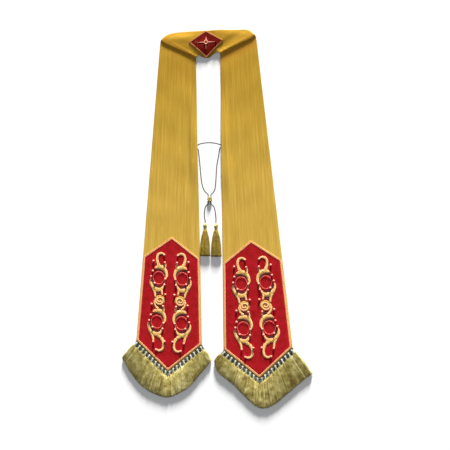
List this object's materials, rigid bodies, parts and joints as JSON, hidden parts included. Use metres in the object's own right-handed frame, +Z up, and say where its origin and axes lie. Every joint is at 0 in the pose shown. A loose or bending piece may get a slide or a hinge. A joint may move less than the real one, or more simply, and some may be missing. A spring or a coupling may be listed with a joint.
{
  "type": "clerical stole",
  "caption": "Long gold clerical stole laid flat, with red embroidered panels, knotted fringes and a closing cord with tassels.",
  "frame": {"origin": "middle of the stole's footprint, at the surface that it lies on", "axes": "+X to the right of someone who looks down at it with the neck piece away from them, +Y from the hems to the neck piece, +Z up from the surface"},
  "size_m": [0.6018, 1.1536, 0.0125],
  "materials": {
    "gold_cloth": "gold lame weave with a soft sheen",
    "red_cloth": "plain red satin weave",
    "dark_red_cloth": "dark red satin weave",
    "braid": "flat woven salmon-gold braid",
    "goldwork": "raised couched metallic thread",
    "fringe": "knotted olive-gold fringe thread",
    "tassel": "bundled gold thread",
    "cord": "twisted dull gold cord"
  },
  "bodies": {
    "root": {"cord_cross": "cord", "cord_left_lower": "cord", "cord_left_upper": "cord", "cord_right_lower": "cord", "cord_right_upper": "cord", "emblem_braid": "braid", "emblem_ground": "dark_red_cloth", "emblem_star": "goldwork", "left_fringe": "fringe", "left_half": "gold_cloth", "left_inner_scroll": "goldwork", "left_outer_scroll": "goldwork", "left_panel": "red_cloth", "left_panel_braid": "braid", "left_tassel": "tassel", "right_fringe": "fringe", "right_half": "gold_cloth", "right_inner_scroll": "goldwork", "right_outer_scroll": "goldwork", "right_panel": "red_cloth", "right_panel_braid": "braid", "right_tassel": "tassel", "slide_knot": "cord"}
  },
  "joints": []
}
